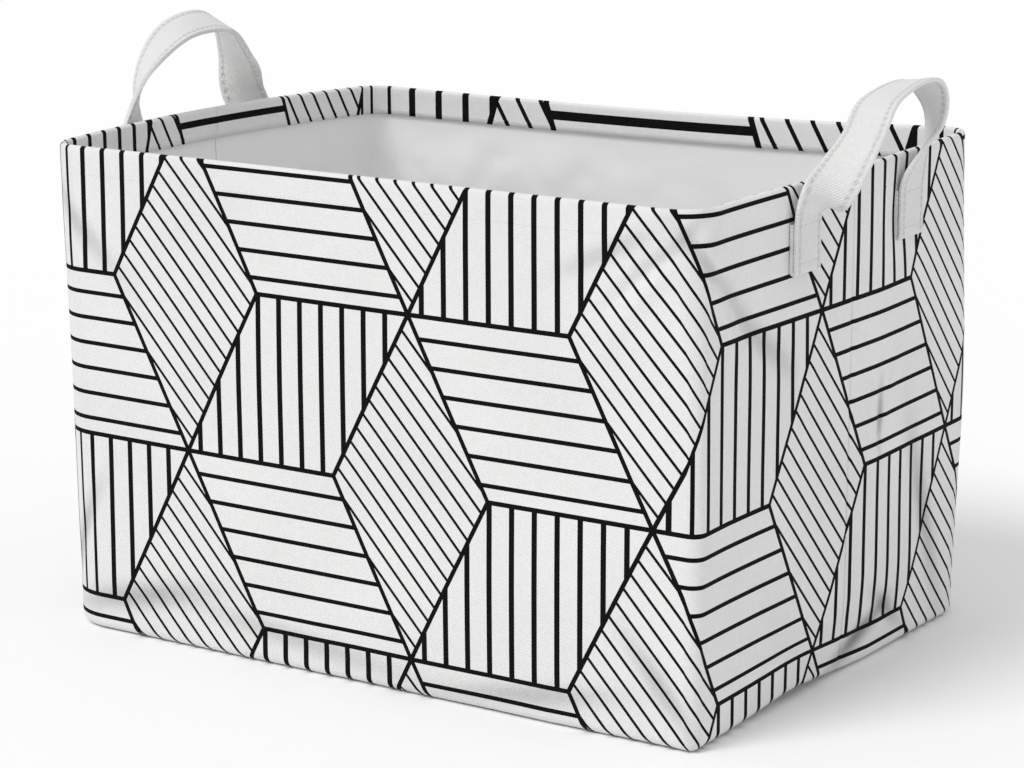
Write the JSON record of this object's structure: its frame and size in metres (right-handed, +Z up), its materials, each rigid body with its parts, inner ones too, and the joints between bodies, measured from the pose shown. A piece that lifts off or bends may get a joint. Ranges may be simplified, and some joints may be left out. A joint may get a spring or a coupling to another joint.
{
  "type": "fabric storage bin",
  "caption": "Open rectangular soft storage bin of printed cotton canvas with a coated lining, a folded stitched hem and a twisting strap handle on each short side.",
  "frame": {"origin": "on the floor under the middle of the bin's base", "axes": "+X along the length towards the right short side, +Y towards the back, +Z up; the front long side faces -Y"},
  "size_m": [0.4666, 0.2998, 0.3181],
  "materials": {
    "canvas": "matte twill canvas, black line print",
    "lining": "smooth waterproof coating",
    "strap": "matte folded canvas",
    "thread": "polyester sewing thread"
  },
  "bodies": {
    "bin": {"canvas_front": "canvas", "canvas_back": "canvas", "lining_front": "lining", "lining_back": "lining", "left_side_seam_thread": "thread", "right_side_seam_thread": "thread", "left_boxed_corner_thread": "thread", "right_boxed_corner_thread": "thread", "base_seam_thread": "thread", "hem_stitching_outer": "thread", "hem_stitching_inner": "thread", "left_handle_front_tab": "strap", "left_front_tab_box_stitch": "thread", "left_handle_back_tab": "strap", "left_back_tab_box_stitch": "thread", "right_handle_front_tab": "strap", "right_front_tab_box_stitch": "thread", "right_handle_back_tab": "strap", "right_back_tab_box_stitch": "thread"},
    "left_handle": {"left_handle_loop": "strap", "left_handle_first_edge_top_stitch": "thread", "left_handle_first_edge_under_stitch": "thread", "left_handle_second_edge_top_stitch": "thread", "left_handle_second_edge_under_stitch": "thread"},
    "right_handle": {"right_handle_loop": "strap", "right_handle_first_edge_top_stitch": "thread", "right_handle_first_edge_under_stitch": "thread", "right_handle_second_edge_top_stitch": "thread", "right_handle_second_edge_under_stitch": "thread"}
  },
  "joints": [
    {"name": "left_handle_swing", "type": "hinge", "parent": "bin", "child": "left_handle", "pos_m": [-0.21166, -0.007, 0.2518], "axis": [0, -1, 0], "range_deg": [-14, 116]},
    {"name": "right_handle_swing", "type": "hinge", "parent": "bin", "child": "right_handle", "pos_m": [0.21139, 0.004, 0.2518], "axis": [0, 1, 0], "range_deg": [-6, 109]}
  ]
}
